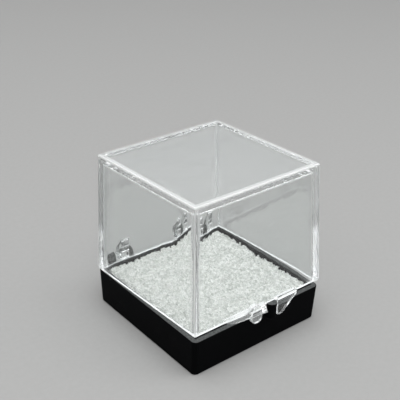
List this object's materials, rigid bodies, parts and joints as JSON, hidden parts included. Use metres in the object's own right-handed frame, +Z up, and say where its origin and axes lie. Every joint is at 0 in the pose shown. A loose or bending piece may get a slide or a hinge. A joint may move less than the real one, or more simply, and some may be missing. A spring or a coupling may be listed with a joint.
{
  "type": "specimen display box",
  "caption": "Square hinged display box: tall clear lid, shallow black tray with a front catch, and a coarse white foam insert for a small mineral specimen.",
  "frame": {"origin": "middle of the tray's flat underside, which rests on the table", "axes": "+Z up, -Y towards the catch at the front, +Y towards the hinge at the back, +X to the right of someone who faces the catch"},
  "size_m": [0.033, 0.037, 0.0354],
  "materials": {
    "black_plastic": "glossy black injection-moulded polystyrene",
    "clear_plastic": "clear polished injection-moulded polystyrene",
    "white_foam": "white extruded foam with a coarse, broken, crystalline surface"
  },
  "bodies": {
    "base_tray": {"base_tray": "black_plastic"},
    "lid": {"lid": "clear_plastic"},
    "foam_insert": {"foam_insert": "white_foam"}
  },
  "joints": [
    {"name": "lid_hinge", "type": "hinge", "parent": "base_tray", "child": "lid", "pos_m": [0, 0.0179, 0.0086], "axis": [-1, 0, 0], "range_deg": [-2.4, 105.6]},
    {"name": "foam_lift", "type": "slide", "parent": "base_tray", "child": "foam_insert", "axis": [0, 0, 1], "range_m": [0, 0.007]}
  ]
}
